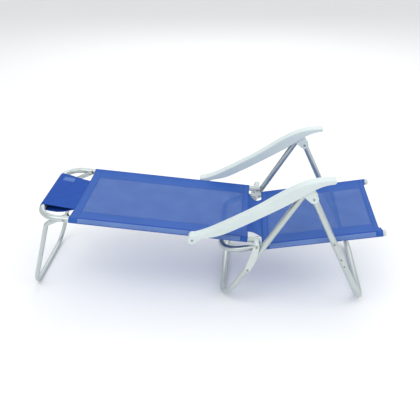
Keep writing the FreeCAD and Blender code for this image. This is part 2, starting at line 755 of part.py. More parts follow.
def make_backrest():
    """Backrest frame, its pins, sling and pillow, and the armrests."""
    bent_tube("backrest_frame_tube", HEAD_BAR, BACK_END, RAIL_Y, size("main_bend"),
              [(HINGE, RUNNING_HOLE), (ARM_PIN, TIGHT_HOLE), (HEAD_PIN, TIGHT_HOLE)])
    direction, _ = between(HEAD_BAR, BACK_END)
    plug_pair("backrest_end_plugs", BACK_END, direction, 4.0, 2.0, TUBE_R - 0.1)
    start = (size("back_cloth_start_x") - HEAD_BAR[0]) / math.cos(BACK_SLOPE)
    end = (size("back_cloth_end_x") - HEAD_BAR[0]) / math.cos(BACK_SLOPE)
    fabric_panel("backrest_cloth", HEAD_BAR, direction, start, end, [ARM_PIN])
    make_pillow()
    arm_face = size("arm_center_y") + size("arm_width") / 2
    pair("armrest_pivot_pins", rivet_outline(RAIL_Y - TUBE_R - 0.1, arm_face + 0.2,
                                             size("small_head"), height=1.6), ARM_PIN)
    leg_face = size("head_leg_half_width") - size("head_tube_radius") - 0.2
    pair("head_leg_pivot_pins", rivet_outline(leg_face, RAIL_Y + TUBE_R + 0.1,
                                              size("pin_head")), HEAD_PIN)
    make_armrests()


def make_legs():
    """Front leg, rear leg, head leg, knuckles and links."""
    direction, length = between(FRONT_FOOT, FRONT_TOP)
    past = size("leg_past_pin")
    stops = [along(FRONT_FOOT, direction, d) for d in (217.0, 251.0)]
    bent_tube("front_leg_tube", FRONT_FOOT, along(FRONT_FOOT, direction, length + past), LEG_Y,
              size("front_leg_bend"), [(FRONT_PIN, RUNNING_HOLE), (FRONT_TOP, TIGHT_HOLE),
                                 (stops[0], TIGHT_HOLE), (stops[1], TIGHT_HOLE)])
    direction, length = between(REAR_FOOT, REAR_TOP)
    bent_tube("rear_leg_tube", REAR_FOOT, along(REAR_FOOT, direction, length + past), LEG_Y,
              size("rear_leg_bend"), [(REAR_TOP, RUNNING_HOLE)])
    make_head_leg()
    make_knuckles()
    make_links()
    cheek = size("knuckle_width") / 2 + 0.05
    knuckle_pin = rivet_outline(LEG_Y - cheek, LEG_Y + cheek, size("small_head"), height=1.4)
    stop_rivet = rivet_outline(LEG_Y - TUBE_R - 0.1, LEG_Y + TUBE_R + 0.1, size("small_head"),
                               height=1.6)
    link_face = size("link_inner_y") + size("link_thickness")
    pair("knuckle_pivot_pins", knuckle_pin, FRONT_TOP)
    for number, point in enumerate(stops, start=1):
        pair(f"fold_stop_rivets_{number}", stop_rivet, point)
    for side, word in ((1, "left"), (-1, "right")):
        single(f"rear_leg_pin_{word}", knuckle_pin, REAR_TOP, side)
        single(f"link_rivet_{word}",
               [(LEG_Y + TUBE_R + 0.5, 0.0), (LEG_Y + TUBE_R + 0.5, 6.0),
                (size("link_inner_y") - 0.1, 6.0), (size("link_inner_y") - 0.1, 4.0),
                (link_face + 0.1, 4.0), (link_face + 0.1, 7.0), (link_face + 1.2, 6.6),
                (link_face + 2.0, 4.0), (link_face + 2.0, 0.0)], LINK_PIN, side)


make_seat()
make_backrest()
make_legs()
doc.recompute()


# ------------------------------------------------------------------------ export
def check_and_export():
    """Write every sub-part after making sure its solids are sound."""
    broken = [o.Label for o in doc.Objects if {"Invalid", "Error"} & set(o.State)]
    if broken:
        raise RuntimeError(f"features not computed: {broken}")
    os.makedirs("parts", exist_ok=True)
    for label, thing in NODES.items():
        shape = thing.Shape
        if shape.isNull() or not shape.isValid() or not shape.Solids:
            raise RuntimeError(f"bad shape: {label}")
        shape.exportStep(f"parts/{label}.step")


check_and_export()
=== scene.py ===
"""Folding sun lounger: drawn aluminium frame, see-through sling, moulded armrests.

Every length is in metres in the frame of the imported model: X to the foot end,
Y to the sitter's left, Z up, with the ground at zero.
"""

import enum
import logging
import math
from dataclasses import dataclass
from typing import Any, Sequence

import bpy
import numpy as np
from mathutils import Matrix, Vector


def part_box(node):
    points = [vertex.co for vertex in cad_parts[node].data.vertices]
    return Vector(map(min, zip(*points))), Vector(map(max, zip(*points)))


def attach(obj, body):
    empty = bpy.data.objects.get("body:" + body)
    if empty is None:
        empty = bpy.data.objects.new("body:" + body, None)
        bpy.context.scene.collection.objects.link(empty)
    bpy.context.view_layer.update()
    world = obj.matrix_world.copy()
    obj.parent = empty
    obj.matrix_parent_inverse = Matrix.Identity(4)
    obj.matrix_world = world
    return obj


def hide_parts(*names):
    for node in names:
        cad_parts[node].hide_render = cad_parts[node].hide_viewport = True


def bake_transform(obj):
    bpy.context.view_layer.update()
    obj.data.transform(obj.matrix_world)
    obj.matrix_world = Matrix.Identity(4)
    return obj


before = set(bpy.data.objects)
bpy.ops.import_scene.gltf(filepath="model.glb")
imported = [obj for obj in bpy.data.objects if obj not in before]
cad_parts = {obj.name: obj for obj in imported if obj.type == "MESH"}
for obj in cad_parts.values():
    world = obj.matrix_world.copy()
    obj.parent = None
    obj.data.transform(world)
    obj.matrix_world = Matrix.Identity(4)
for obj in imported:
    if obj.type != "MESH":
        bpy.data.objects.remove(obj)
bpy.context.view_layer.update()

log = logging.getLogger("sun_lounger")
MM = 0.001
# sockets of a Mix node that mixes colours: its factor, its two colours and its result
FACTOR, FIRST, SECOND, MIXED = 0, 6, 7, 2


# --------------------------------------------------------------------- colours and nodes
def linear(code: str) -> tuple[float, float, float, float]:
    """Turn an sRGB hex colour into linear light.

    Args:
        code: Six hex digits, with or without a leading hash.

    Returns:
        Red, green, blue and an alpha of one.
    """
    digits = code.lstrip("#")
    parts = [int(digits[i:i + 2], 16) / 255 for i in (0, 2, 4)]
    curve = [p / 12.92 if p <= 0.04045 else ((p + 0.055) / 1.055) ** 2.4 for p in parts]
    return curve[0], curve[1], curve[2], 1.0


def add_node(tree: bpy.types.NodeTree, kind: str, feeds: dict[Any, Any] | None = None,
             **settings: Any) -> bpy.types.Node:
    """Add one node, with its settings, its fixed values and its links.

    Args:
        tree: The material's node tree.
        kind: The node's type name.
        feeds: Input name or number to an output socket, which is linked, or a value.
        **settings: Properties of the node itself.

    Returns:
        The new node.
    """
    made = tree.nodes.new(kind)
    for key, value in settings.items():
        setattr(made, key, value)
    for key, value in (feeds or {}).items():
        if isinstance(value, bpy.types.NodeSocket):
            tree.links.new(value, made.inputs[key])
        else:
            made.inputs[key].default_value = value
    return made


def fresh_material(name: str) -> tuple[bpy.types.Material, bpy.types.NodeTree]:
    """Make an empty node material.

    Args:
        name: The material's name.

    Returns:
        The material and its node tree.
    """
    material = bpy.data.materials.new(name)
    material.use_nodes = True
    material.node_tree.nodes.clear()
    return material, material.node_tree


def woven(tree: bpy.types.NodeTree, uv: bpy.types.NodeSocket,
          pitch: float) -> bpy.types.NodeSocket:
    """Height of a plain weave: a sine across the cloth times a sine along it.

    Args:
        tree: The material's node tree.
        uv: Place on the flat cloth, in metres.
        pitch: Length of one wave.

    Returns:
        The height, from minus one to one.
    """
    split = add_node(tree, "ShaderNodeSeparateXYZ", {"Vector": uv})
    waves = []
    for value in (split.outputs["X"], split.outputs["Y"]):
        turn = add_node(tree, "ShaderNodeMath", {0: value, 1: 2 * math.pi / pitch},
                        operation="MULTIPLY")
        waves.append(add_node(tree, "ShaderNodeMath", {0: turn.outputs[0]},
                              operation="SINE").outputs[0])
    return add_node(tree, "ShaderNodeMath", {0: waves[0], 1: waves[1]},
                    operation="MULTIPLY").outputs[0]


# ------------------------------------------------------------------------------ finishes
@dataclass(frozen=True)
class DrawnAluminium:
    """Anodised aluminium tube, drawn through a die and etched satin.

    Drawing leaves fine scratches and slow changes of gloss, so highlights run soft
    and slightly uneven along each tube.
    """

    name: str = "anodised_aluminium_drawn"
    light: str = "D3DAD9"
    dull: str = "B4BCBC"
    roughness: float = 0.43
    # scratches are some tenths of a millimetre apart; drawn coarser so that they show
    grain: float = 0.0009

    def build(self) -> bpy.types.Material:
        """Make the material.

        Returns:
            The finish, ready for a part.
        """
        material, tree = fresh_material(self.name)
        place = add_node(tree, "ShaderNodeTexCoord").outputs["Object"]
        cloud = add_node(tree, "ShaderNodeTexNoise", {"Vector": place, "Scale": 14.0,
                                                      "Detail": 3.0, "Roughness": 0.6})
        grit = add_node(tree, "ShaderNodeTexNoise", {"Vector": place, "Scale": 1 / self.grain,
                                                     "Detail": 2.0})
        colour = add_node(tree, "ShaderNodeMix", {FACTOR: cloud.outputs["Fac"],
                                                  FIRST: linear(self.dull),
                                                  SECOND: linear(self.light)},
                          data_type="RGBA").outputs[MIXED]
        gloss = add_node(tree, "ShaderNodeMapRange",
                         {"Value": cloud.outputs["Fac"], "From Min": 0.3, "From Max": 0.7,
                          "To Min": self.roughness - 0.06, "To Max": self.roughness + 0.08})
        bump = add_node(tree, "ShaderNodeBump", {"Height": grit.outputs["Fac"], "Strength": 0.05,
                                                 "Distance": 0.0004})
        shader = add_node(tree, "ShaderNodeBsdfPrincipled",
                          {"Base Color": colour, "Metallic": 1.0, "Normal": bump.outputs["Normal"],
                           "Roughness": gloss.outputs["Result"]})
        add_node(tree, "ShaderNodeOutputMaterial", {"Surface": shader.outputs["BSDF"]})
        return material


@dataclass(frozen=True)
class MouldedPlastic:
    """Injection-moulded polypropylene with a fine spark-eroded texture.

    The texture breaks up highlights, and the resin is slightly uneven in tone, a
    little greener where the wall is thick.
    """

    name: str = "polypropylene_moulded_white"
    pale: str = "D3DDDD"
    deep: str = "C7D3D3"
    roughness: float = 0.42
    # spark-eroded pits are about 0.1 mm across; drawn coarser so that they show
    grit: float = 0.0012

    def build(self) -> bpy.types.Material:
        """Make the material.

        Returns:
            The finish, ready for a part.
        """
        material, tree = fresh_material(self.name)
        place = add_node(tree, "ShaderNodeTexCoord").outputs["Object"]
        cloud = add_node(tree, "ShaderNodeTexNoise", {"Vector": place, "Scale": 9.0, "Detail": 2.0})
        texture = add_node(tree, "ShaderNodeTexNoise", {"Vector": place, "Scale": 1 / self.grit,
                                                        "Detail": 2.0, "Roughness": 0.55})
        colour = add_node(tree, "ShaderNodeMix", {FACTOR: cloud.outputs["Fac"],
                                                  FIRST: linear(self.deep),
                                                  SECOND: linear(self.pale)},
                          data_type="RGBA").outputs[MIXED]
        bump = add_node(tree, "ShaderNodeBump", {"Height": texture.outputs["Fac"],
                                                 "Strength": 0.12, "Distance": 0.0003})
        shader = add_node(tree, "ShaderNodeBsdfPrincipled",
                          {"Base Color": colour, "Roughness": self.roughness, "IOR": 1.49,
                           "Subsurface Weight": 0.06, "Subsurface Scale": 0.004,
                           "Normal": bump.outputs["Normal"]})
        add_node(tree, "ShaderNodeOutputMaterial", {"Surface": shader.outputs["BSDF"]})
        return material


@dataclass(frozen=True)
class ZincRivet:
    """Zinc-plated steel rivet with a hollow set centre.

    The middle of each head is painted dark, painted shade in the hollow that the setting tool
    leaves, and is rougher; the plated metal round it is paler and glossier. The head's middle is
    the same on both sides of the chair.
    """

    name: str
    middle_x: float
    middle_z: float
    # radius of the painted shade in each head's hollow
    shaded_hollow_radius: float = 0.0024
    bright: str = "B9BEBE"
    # dark: painted shade inside the hollow
    dark: str = "55595B"

    def build(self) -> bpy.types.Material:
        """Make the material.

        Returns:
            The finish, ready for a part.
        """
        material, tree = fresh_material(self.name)
        place = add_node(tree, "ShaderNodeTexCoord").outputs["Object"]
        centred = add_node(tree, "ShaderNodeMapping",
                           {"Vector": place, "Location": (-self.middle_x, 0.0, -self.middle_z),
                            "Scale": (1.0, 0.0, 1.0)})
        reach = add_node(tree, "ShaderNodeVectorMath", {0: centred.outputs["Vector"]},
                         operation="LENGTH")
        # painted shade: from the dark hollow (0) out to the plated metal (1)
        out_of_hollow_shade = add_node(tree, "ShaderNodeMapRange",
                        {"Value": reach.outputs["Value"], "From Min": self.shaded_hollow_radius * 0.8,
                         "From Max": self.shaded_hollow_radius * 1.25, "To Min": 0.0, "To Max": 1.0})
        colour = add_node(tree, "ShaderNodeMix", {FACTOR: out_of_hollow_shade.outputs["Result"],
                                                  FIRST: linear(self.dark),
                                                  SECOND: linear(self.bright)},
                          data_type="RGBA").outputs[MIXED]
        gloss = add_node(tree, "ShaderNodeMapRange", {"Value": out_of_hollow_shade.outputs["Result"],
                                                      "To Min": 0.6, "To Max": 0.33})
        shader = add_node(tree, "ShaderNodeBsdfPrincipled",
                          {"Base Color": colour, "Metallic": 0.9,
                           "Roughness": gloss.outputs["Result"]})
        add_node(tree, "ShaderNodeOutputMaterial", {"Surface": shader.outputs["BSDF"]})
        return material


class Layer(enum.IntEnum):
    """The sling's layers, in the order of its material slots."""

    SINGLE = 0
    DOUBLED = 1
    STITCHED = 2
    SLEEVE_PAINTED_SHADE = 3
    OVER_RAIL = 4


# the lighter and the darker tone of each layer
MESH_TONES: dict[Layer, tuple[str, str]] = {
    Layer.SINGLE: ("4470B9", "2853A5"),
    Layer.DOUBLED: ("2E5EB0", "2150A0"),
    Layer.STITCHED: ("24489A", "1C3E8C"),
    # the sleeve round each rail is a deeper blue: painted shade along the rails
    Layer.SLEEVE_PAINTED_SHADE: ("2450AC", "1B459B"),
    Layer.OVER_RAIL: ("6A86BE", "506EAA"),
}


@dataclass(frozen=True)
class SlingMesh:
    """Open mesh woven from vinyl-coated polyester yarn.

    One layer lets some light through, so the ground and the tubes show faintly under
    it. Two layers are closed to the eye and a stronger blue, a row of stitching is
    darker again, and one layer close over a bright rail is paler. The UV map holds metres
    across the cloth and metres along it.
    """

    layer: Layer
    # real yarns stand about 1.6 mm apart; drawn at three times that so that they show
    pitch: float = 0.0048
    open_share: float = 0.20

    def build(self) -> bpy.types.Material:
        """Make the material.

        Returns:
            The finish, ready for a part.
        """
        light, dark = MESH_TONES[self.layer]
        material, tree = fresh_material(f"vinyl_coated_mesh_{self.layer.name.lower()}")
        uv = add_node(tree, "ShaderNodeUVMap", uv_map="cloth").outputs["UV"]
        weave = woven(tree, uv, self.pitch)
        cloud = add_node(tree, "ShaderNodeTexNoise", {"Vector": uv, "Scale": 9.0, "Detail": 3.0})
        tone = add_node(tree, "ShaderNodeMath", {0: weave, 1: 0.34, 2: cloud.outputs["Fac"]},
                        operation="MULTIPLY_ADD").outputs[0]
        colour = add_node(tree, "ShaderNodeMix", {FACTOR: tone, FIRST: linear(dark),
                                                  SECOND: linear(light)},
                          data_type="RGBA").outputs[MIXED]
        bump = add_node(tree, "ShaderNodeBump", {"Height": weave, "Strength": 0.25,
                                                 "Distance": 0.0004})
        shader = add_node(tree, "ShaderNodeBsdfPrincipled",
                          {"Base Color": colour, "Roughness": 0.6, "IOR": 1.5,
                           "Specular IOR Level": 0.25, "Normal": bump.outputs["Normal"]})
        if self.layer is Layer.SINGLE:
            cover = add_node(tree, "ShaderNodeMapRange",
                             {"Value": weave, "From Min": -1.0, "From Max": 1.0,
                              "To Min": 1 - self.open_share * 1.5,
                              "To Max": 1 - self.open_share * 0.5})
            tree.links.new(cover.outputs["Result"], shader.inputs["Alpha"])
        add_node(tree, "ShaderNodeOutputMaterial", {"Surface": shader.outputs["BSDF"]})
        return material


@dataclass(frozen=True)
class PillowCloth:
    """Close plain weave of dyed polyester, used for the sleeve at the head end.

    Denser than the sling's mesh, so it is a deeper and more even blue.
    """

    name: str = "polyester_plain_weave_blue"
    warp: str = "174DAA"
    weft: str = "124296"
    # real threads are under a millimetre apart; drawn coarser so that they show
    pitch: float = 0.0026

    def build(self) -> bpy.types.Material:
        """Make the material.

        Returns:
            The finish, ready for a part.
        """
        material, tree = fresh_material(self.name)
        uv = add_node(tree, "ShaderNodeUVMap", uv_map="cloth").outputs["UV"]
        weave = woven(tree, uv, self.pitch)
        cloud = add_node(tree, "ShaderNodeTexNoise", {"Vector": uv, "Scale": 22.0, "Detail": 4.0})
        colour = add_node(tree, "ShaderNodeMix", {FACTOR: cloud.outputs["Fac"],
                                                  FIRST: linear(self.weft),
                                                  SECOND: linear(self.warp)},
                          data_type="RGBA").outputs[MIXED]
        bump = add_node(tree, "ShaderNodeBump", {"Height": weave, "Strength": 0.2,
                                                 "Distance": 0.0003})
        shader = add_node(tree, "ShaderNodeBsdfPrincipled",
                          {"Base Color": colour, "Roughness": 0.72,
                           "Specular IOR Level": 0.25, "Normal": bump.outputs["Normal"]})
        add_node(tree, "ShaderNodeOutputMaterial", {"Surface": shader.outputs["BSDF"]})
        return material


# ------------------------------------------------------------------------------- surfaces
@dataclass(frozen=True)
class SidePlane:
    """A tilted plane across the chair, along two parallel rails.

    s runs along the rails toward the foot end, y across the chair and t square to
    both, upward.
    """

    origin_x: float
    origin_z: float
    rise_degrees: float

    def world(self, s: np.ndarray, y: np.ndarray, t: np.ndarray) -> np.ndarray:
        """Turn plane coordinates into points of the model's frame.

        Args:
            s: Distance along the rails.
            y: Distance across the chair.
            t: Height above the rails' centre lines.

        Returns:
            Points, with the coordinates on the last axis.
        """
        rise = math.radians(self.rise_degrees)
        x = self.origin_x + s * math.cos(rise) - t * math.sin(rise)
        z = self.origin_z + s * math.sin(rise) + t * math.cos(rise)
        return np.stack(np.broadcast_arrays(x, y, z), axis=-1)


def grid_lines(stops: Sequence[float], step: float) -> np.ndarray:
    """Even grid lines through every stop, no more than a step apart.

    Args:
        stops: Values in order, rising or falling.
        step: Largest distance between two lines.

    Returns:
        The lines' values.
    """
    runs = [np.linspace(a, b, math.ceil(abs(b - a) / step) + 1)[:-1]
            for a, b in zip(stops, stops[1:])]
    return np.concatenate([*runs, [stops[-1]]])


def grid_piece(name: str, points: np.ndarray, uv: np.ndarray, thickness: float,
               materials: Sequence[bpy.types.Material],
               choice: np.ndarray | None = None) -> bpy.types.Object:
    """Make a sheet from a grid of points, thickened evenly to both sides.

    Args:
        name: The piece's name.
        points: Rows by columns by three coordinates.
        uv: Rows by columns by two, in metres of flat cloth.
        thickness: Thickness of the cloth.
        materials: Its finishes.
        choice: The finish of each cell of the grid, as a number.

    Returns:
        The new object, linked to the scene.
    """
    rows, columns = points.shape[:2]
    index = np.arange(rows * columns).reshape(rows, columns)
    quads = np.stack([index[:-1, :-1], index[:-1, 1:], index[1:, 1:], index[1:, :-1]], axis=-1)
    quads = quads.reshape(-1, 4)
    mesh = bpy.data.meshes.new(name)
    mesh.vertices.add(rows * columns)
    mesh.vertices.foreach_set("co", points.reshape(-1).astype(np.float32))
    mesh.loops.add(quads.size)
    mesh.loops.foreach_set("vertex_index", quads.reshape(-1).astype(np.int32))
    mesh.polygons.add(len(quads))
    mesh.polygons.foreach_set("loop_start", np.arange(0, quads.size, 4, dtype=np.int32))
    mesh.update(calc_edges=True)
    layer = mesh.uv_layers.new(name="cloth")
    layer.data.foreach_set("uv", uv.reshape(-1, 2)[quads.reshape(-1)].reshape(-1)
                           .astype(np.float32))
    mesh.polygons.foreach_set("use_smooth", np.ones(len(quads), dtype=bool))
    for material in materials:
        mesh.materials.append(material)
    if choice is not None:
        mesh.polygons.foreach_set("material_index", choice.reshape(-1).astype(np.int32))
    mesh.validate()
    piece = bpy.data.objects.new(name, mesh)
    bpy.context.scene.collection.objects.link(piece)
    wall = piece.modifiers.new("cloth_thickness", "SOLIDIFY")
    wall.thickness = thickness
    wall.offset = 0.0
    return piece


# ---------------------------------------------------------------------------- the lounger
@dataclass(frozen=True)
class RailDip:
    """Cross section of cloth pulled over two rails that sinks between them."""

    low: float
    rail: float = 0.228
    radius: float = 0.01325
    lean_degrees: float = 16.0

    @property
    def join(self) -> tuple[float, float]:
        """Distance from the middle, and height, where the cloth leaves the rail."""
        lean = math.radians(self.lean_degrees)
        return self.rail - self.radius * math.sin(lean), self.radius * math.cos(lean)

    def height(self, y: np.ndarray, extra: np.ndarray | float = 0.0) -> np.ndarray:
        """Height of the cloth over the rails' centres.

        The lowest height plus a hyperbolic cosine of the distance from the middle,
        steep enough to leave the rail at the lean's angle.

        Args:
            y: Distance across the chair.
            extra: How much lower than the usual lowest height the middle is.

        Returns:
            The heights.
        """
        reach, top = self.join
        bottom = self.low - extra
        steep = math.tan(math.radians(self.lean_degrees)) / (top - bottom)
        rise = (np.cosh(steep * np.abs(y)) - 1) / (np.cosh(steep * reach) - 1)
        return bottom + (top - bottom) * rise


BACK_PLANE = SidePlane(origin_x=-0.655, origin_z=0.37145, rise_degrees=-5.2)
SEAT_PLANE = SidePlane(origin_x=0.0, origin_z=0.2188, rise_degrees=9.6)
BACK_DIP = RailDip(low=0.0042)
SEAT_DIP = RailDip(low=0.0060)
# where each panel begins and ends along its rails
BACK_START, BACK_END = 0.1305, 0.8505
SEAT_START, SEAT_END = 0.2546, 0.7181
# one finish for each layer, made before the cloth
SLING_FINISH: dict[Layer, bpy.types.Material] = {}


@dataclass
class SlingPanel:
    """One stretched panel of the sling, with a sleeve sewn round each rail."""

    name: str
    body: str
    plane: SidePlane
    dip: RailDip
    start: float
    end: float
    replaces: tuple[str, ...]
    sag: float
    sag_middle: float
    head_hem: float
    foot_hem: float
    sag_reach: float = 0.6
    ripple: float = 0.0004
    ripple_waves: tuple[float, float, float] = (61.0, 23.0, 41.0)
    ripple_shift: float = 0.7
    field_half: float = 0.160
    stitch: float = 0.0026
    stitch_inset: float = 0.003
    band_degrees: tuple[float, float] = (64.0, -22.0)
    seam_y: float = 0.196
    seam_drop: float = 0.0022
    flare: float = 0.0
    flare_from: float = 0.19
    flare_over: float = 0.035
    flare_power: int = 8
    thickness: float = 0.0008
    flap_cells: int = 5
    row_step: float = 0.009
    column_step: float = 0.007
    arc_step_degrees: float = 12.0

    def side_stops(self) -> list[tuple[float, Layer]]:
        """Find where the layers change round a rail.

        Returns:
            Angles in degrees, falling, each with the layer that follows it.
        """
        upper, lower = self.band_degrees
        return [(90 + self.dip.lean_degrees, Layer.SLEEVE_PAINTED_SHADE), (upper, Layer.OVER_RAIL),
                (lower, Layer.SLEEVE_PAINTED_SHADE)]

    def section(self, extra: np.ndarray
                ) -> tuple[np.ndarray, np.ndarray, np.ndarray, np.ndarray]:
        """Profile across the cloth from the left sewn edge to the right one.

        From the middle the cloth follows its dip to the rail, then a circle over,
        outside and under it, then a straight line back to the edge sewn under the
        panel. The other half mirrors it.

        Args:
            extra: How much lower than usual the middle is, for each row.

        Returns:
            Y by column, height by row and column, distance from the centre line by
            column, and the layer of each cell across.
        """
        reach, _ = self.dip.join
        flat = grid_lines([0.0, self.field_half, self.field_half + self.stitch_inset,
                           self.field_half + self.stitch_inset + self.stitch, reach],
                          self.column_step)
        edge_t = self.dip.height(np.full((1, 1), self.seam_y), extra[:, None]) - self.seam_drop
        away = np.array([self.seam_y - self.dip.rail, float(edge_t.mean())])
        tangent = math.degrees(math.atan2(away[1], away[0])
                               + math.acos(self.dip.radius / math.hypot(*away))) - 360
        stops = [angle for angle, _ in self.side_stops()] + [tangent]
        angles = np.radians(grid_lines(stops, self.arc_step_degrees))
        arc_y = self.dip.rail + self.dip.radius * np.cos(angles)
        arc_t = self.dip.radius * np.sin(angles)
        run = np.linspace(0, 1, self.flap_cells + 1)[1:]
        flap_y = arc_y[-1] + (self.seam_y - arc_y[-1]) * run
        flap_t = arc_t[-1] + (edge_t - arc_t[-1]) * run[None, :]
        rows = np.ones((len(extra), 1))
        y = np.concatenate([flat[:-1], arc_y, flap_y])
        t = np.concatenate([self.dip.height(flat[None, :-1], extra[:, None]), rows * arc_t,
                            flap_t], axis=1)
        steps = np.hypot(np.diff(y), np.diff(t.mean(axis=0)))
        u = np.concatenate([[0.0], np.cumsum(steps)])
        half = self._half_layers(flat, angles)
        return (np.concatenate([y[::-1], -y[1:]]), np.concatenate([t[:, ::-1], t[:, 1:]], axis=1),
                np.concatenate([u[::-1], -u[1:]]), np.concatenate([half[::-1], half]))

    def _half_layers(self, flat: np.ndarray, angles: np.ndarray) -> np.ndarray:
        """Layer of each cell of half the section, away from the hems.

        Args:
            flat: Y of the grid lines between the middle and the rail.
            angles: Angles of the grid lines round the rail, in radians.

        Returns:
            The layers, from the middle outward.
        """
        middle = (flat[:-1] + flat[1:]) / 2
        first = self.field_half + self.stitch_inset
        panel = np.where(middle < self.field_half, Layer.SINGLE, Layer.DOUBLED)
        panel = np.where((middle > first) & (middle < first + self.stitch), Layer.STITCHED, panel)
        turn = np.degrees(angles[:-1] + angles[1:]) / 2
        # sleeve cells take the deeper tone, painted shade along the rail
        side = np.full(len(turn), Layer.SLEEVE_PAINTED_SHADE)
        for angle, layer in self.side_stops():
            side = np.where(turn < angle, layer, side)
        return np.concatenate([panel, side, np.full(self.flap_cells, Layer.SLEEVE_PAINTED_SHADE)])

    def _layers(self, s: np.ndarray, across: np.ndarray) -> np.ndarray:
        """Layer of each cell of the grid: the section's, but doubled at both hems.

        Args:
            s: Grid lines along the panel.
            across: Layer of each cell across, away from the hems.

        Returns:
            The layers, by row and column.
        """
        middle = (s[:-1] + s[1:])[:, None] / 2
        from_head, from_foot = middle - self.start, self.end - middle
        hem = (from_head < self.head_hem) | (from_foot < self.foot_hem)
        row = self.stitch_inset
        sewn = ((from_head < self.head_hem - row) & (from_head > self.head_hem - row - self.stitch)
                | (from_foot < self.foot_hem - row)
                & (from_foot > self.foot_hem - row - self.stitch))
        grid = np.where(hem, Layer.DOUBLED, across[None, :])
        return np.where(sewn, Layer.STITCHED, grid)

    def build(self) -> bpy.types.Object:
        """Make the panel, dress it and fix it to its frame.

        Its middle sinks by a parabola along its length, deepest at sag_middle, and
        faint ripples, a product of two sines, run where the cloth is pulled. The sleeves
        reach farther at the foot end by the flare, a smooth step across the cloth times a
        high power of the share of the length.

        Returns:
            The panel.
        """
        inset = self.stitch_inset
        s = grid_lines([self.start, self.start + self.head_hem - inset - self.stitch,
                        self.start + self.head_hem - inset, self.start + self.head_hem,
                        self.end - self.foot_hem, self.end - self.foot_hem + inset,
                        self.end - self.foot_hem + inset + self.stitch, self.end],
                       self.row_step)
        share = (s - self.start) / (self.end - self.start)
        extra = self.sag * np.clip(1 - ((share - self.sag_middle) / self.sag_reach) ** 2, 0, 1)
        y, t, u, across = self.section(extra)
        first, second, third = self.ripple_waves
        wave = (np.sin(s[:, None] * first + y * second)
                * np.sin(y * third + self.ripple_shift) * self.ripple)
        level = (np.abs(u) < self.seam_y) * np.clip(1 - (y / self.seam_y) ** 2, 0, 1)
        drawn = np.clip((np.abs(u) - self.flare_from) / self.flare_over, 0, 1)
        step = drawn * drawn * (3 - 2 * drawn)
        along = s[:, None] + self.flare * step[None, :] * share[:, None] ** self.flare_power
        points = self.plane.world(along, y[None, :], t - wave * level[None, :])
        uv = np.stack(np.broadcast_arrays(u[None, :], s[:, None] - self.start), axis=-1)
        finishes = [SLING_FINISH[layer] for layer in Layer]
        piece = grid_piece(self.name, points, uv, self.thickness, finishes,
                           self._layers(s, across))
        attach(piece, self.body)
        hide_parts(*self.replaces)
        log.info("%s: %.0f mm long, %.0f mm of cloth across", self.name,
                 (self.end - self.start) / MM, (u.max() - u.min()) / MM)
        return piece


@dataclass
class HingeStrip:
    """Narrow part of the sling that bends where the backrest turns."""

    name: str = "sling_hinge_strip"
    half_at_back: float = 0.178
    half_at_waist: float = 0.146
    half_at_seat: float = 0.172
    tuck: float = 0.004
    under: float = 0.00095
    slack: float = 0.019
    slack_fade: float = 0.5
    thickness: float = 0.0009
    rows: int = 34
    columns: int = 60

    def build(self) -> bpy.types.Object:
        """Make the strip: a line from hem to hem with a waist and a little slack.

        Its half width is a straight line between the widths at both hems, less a sine
        down to the waist, and its height a straight line less a half sine of slack, which
        fades toward both edges. Each end is tucked under a hem and follows that hem's dip.

        Returns:
            The strip.
        """
        v = np.linspace(0, 1, self.rows)[:, None]
        u = np.linspace(-1, 1, self.columns)[None, :]
        ends = self.half_at_back * (1 - v) + self.half_at_seat * v
        half = ends - (ends - self.half_at_waist) * np.sin(np.pi * v)
        y = -half * u
        back = BACK_PLANE.world(BACK_END - self.tuck, y, BACK_DIP.height(y) - self.under)
        seat = SEAT_PLANE.world(SEAT_START + self.tuck, y, SEAT_DIP.height(y) - self.under)
        points = back + (seat - back) * v[:, :, None]
        points[:, :, 2] -= self.slack * np.sin(np.pi * v) * (1 - self.slack_fade * u ** 2)
        middle = points[:, self.columns // 2]
        along = np.concatenate([[0.0], np.cumsum(np.linalg.norm(np.diff(middle, axis=0), axis=1))])
        uv = np.stack(np.broadcast_arrays(-y, along[:, None]), axis=-1)
        piece = grid_piece(self.name, points, uv, self.thickness, [SLING_FINISH[Layer.DOUBLED]])
        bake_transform(piece)
        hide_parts("hinge_cloth")
        log.info("%s: waist %.0f mm wide", self.name, 2 * self.half_at_waist / MM)
        return piece


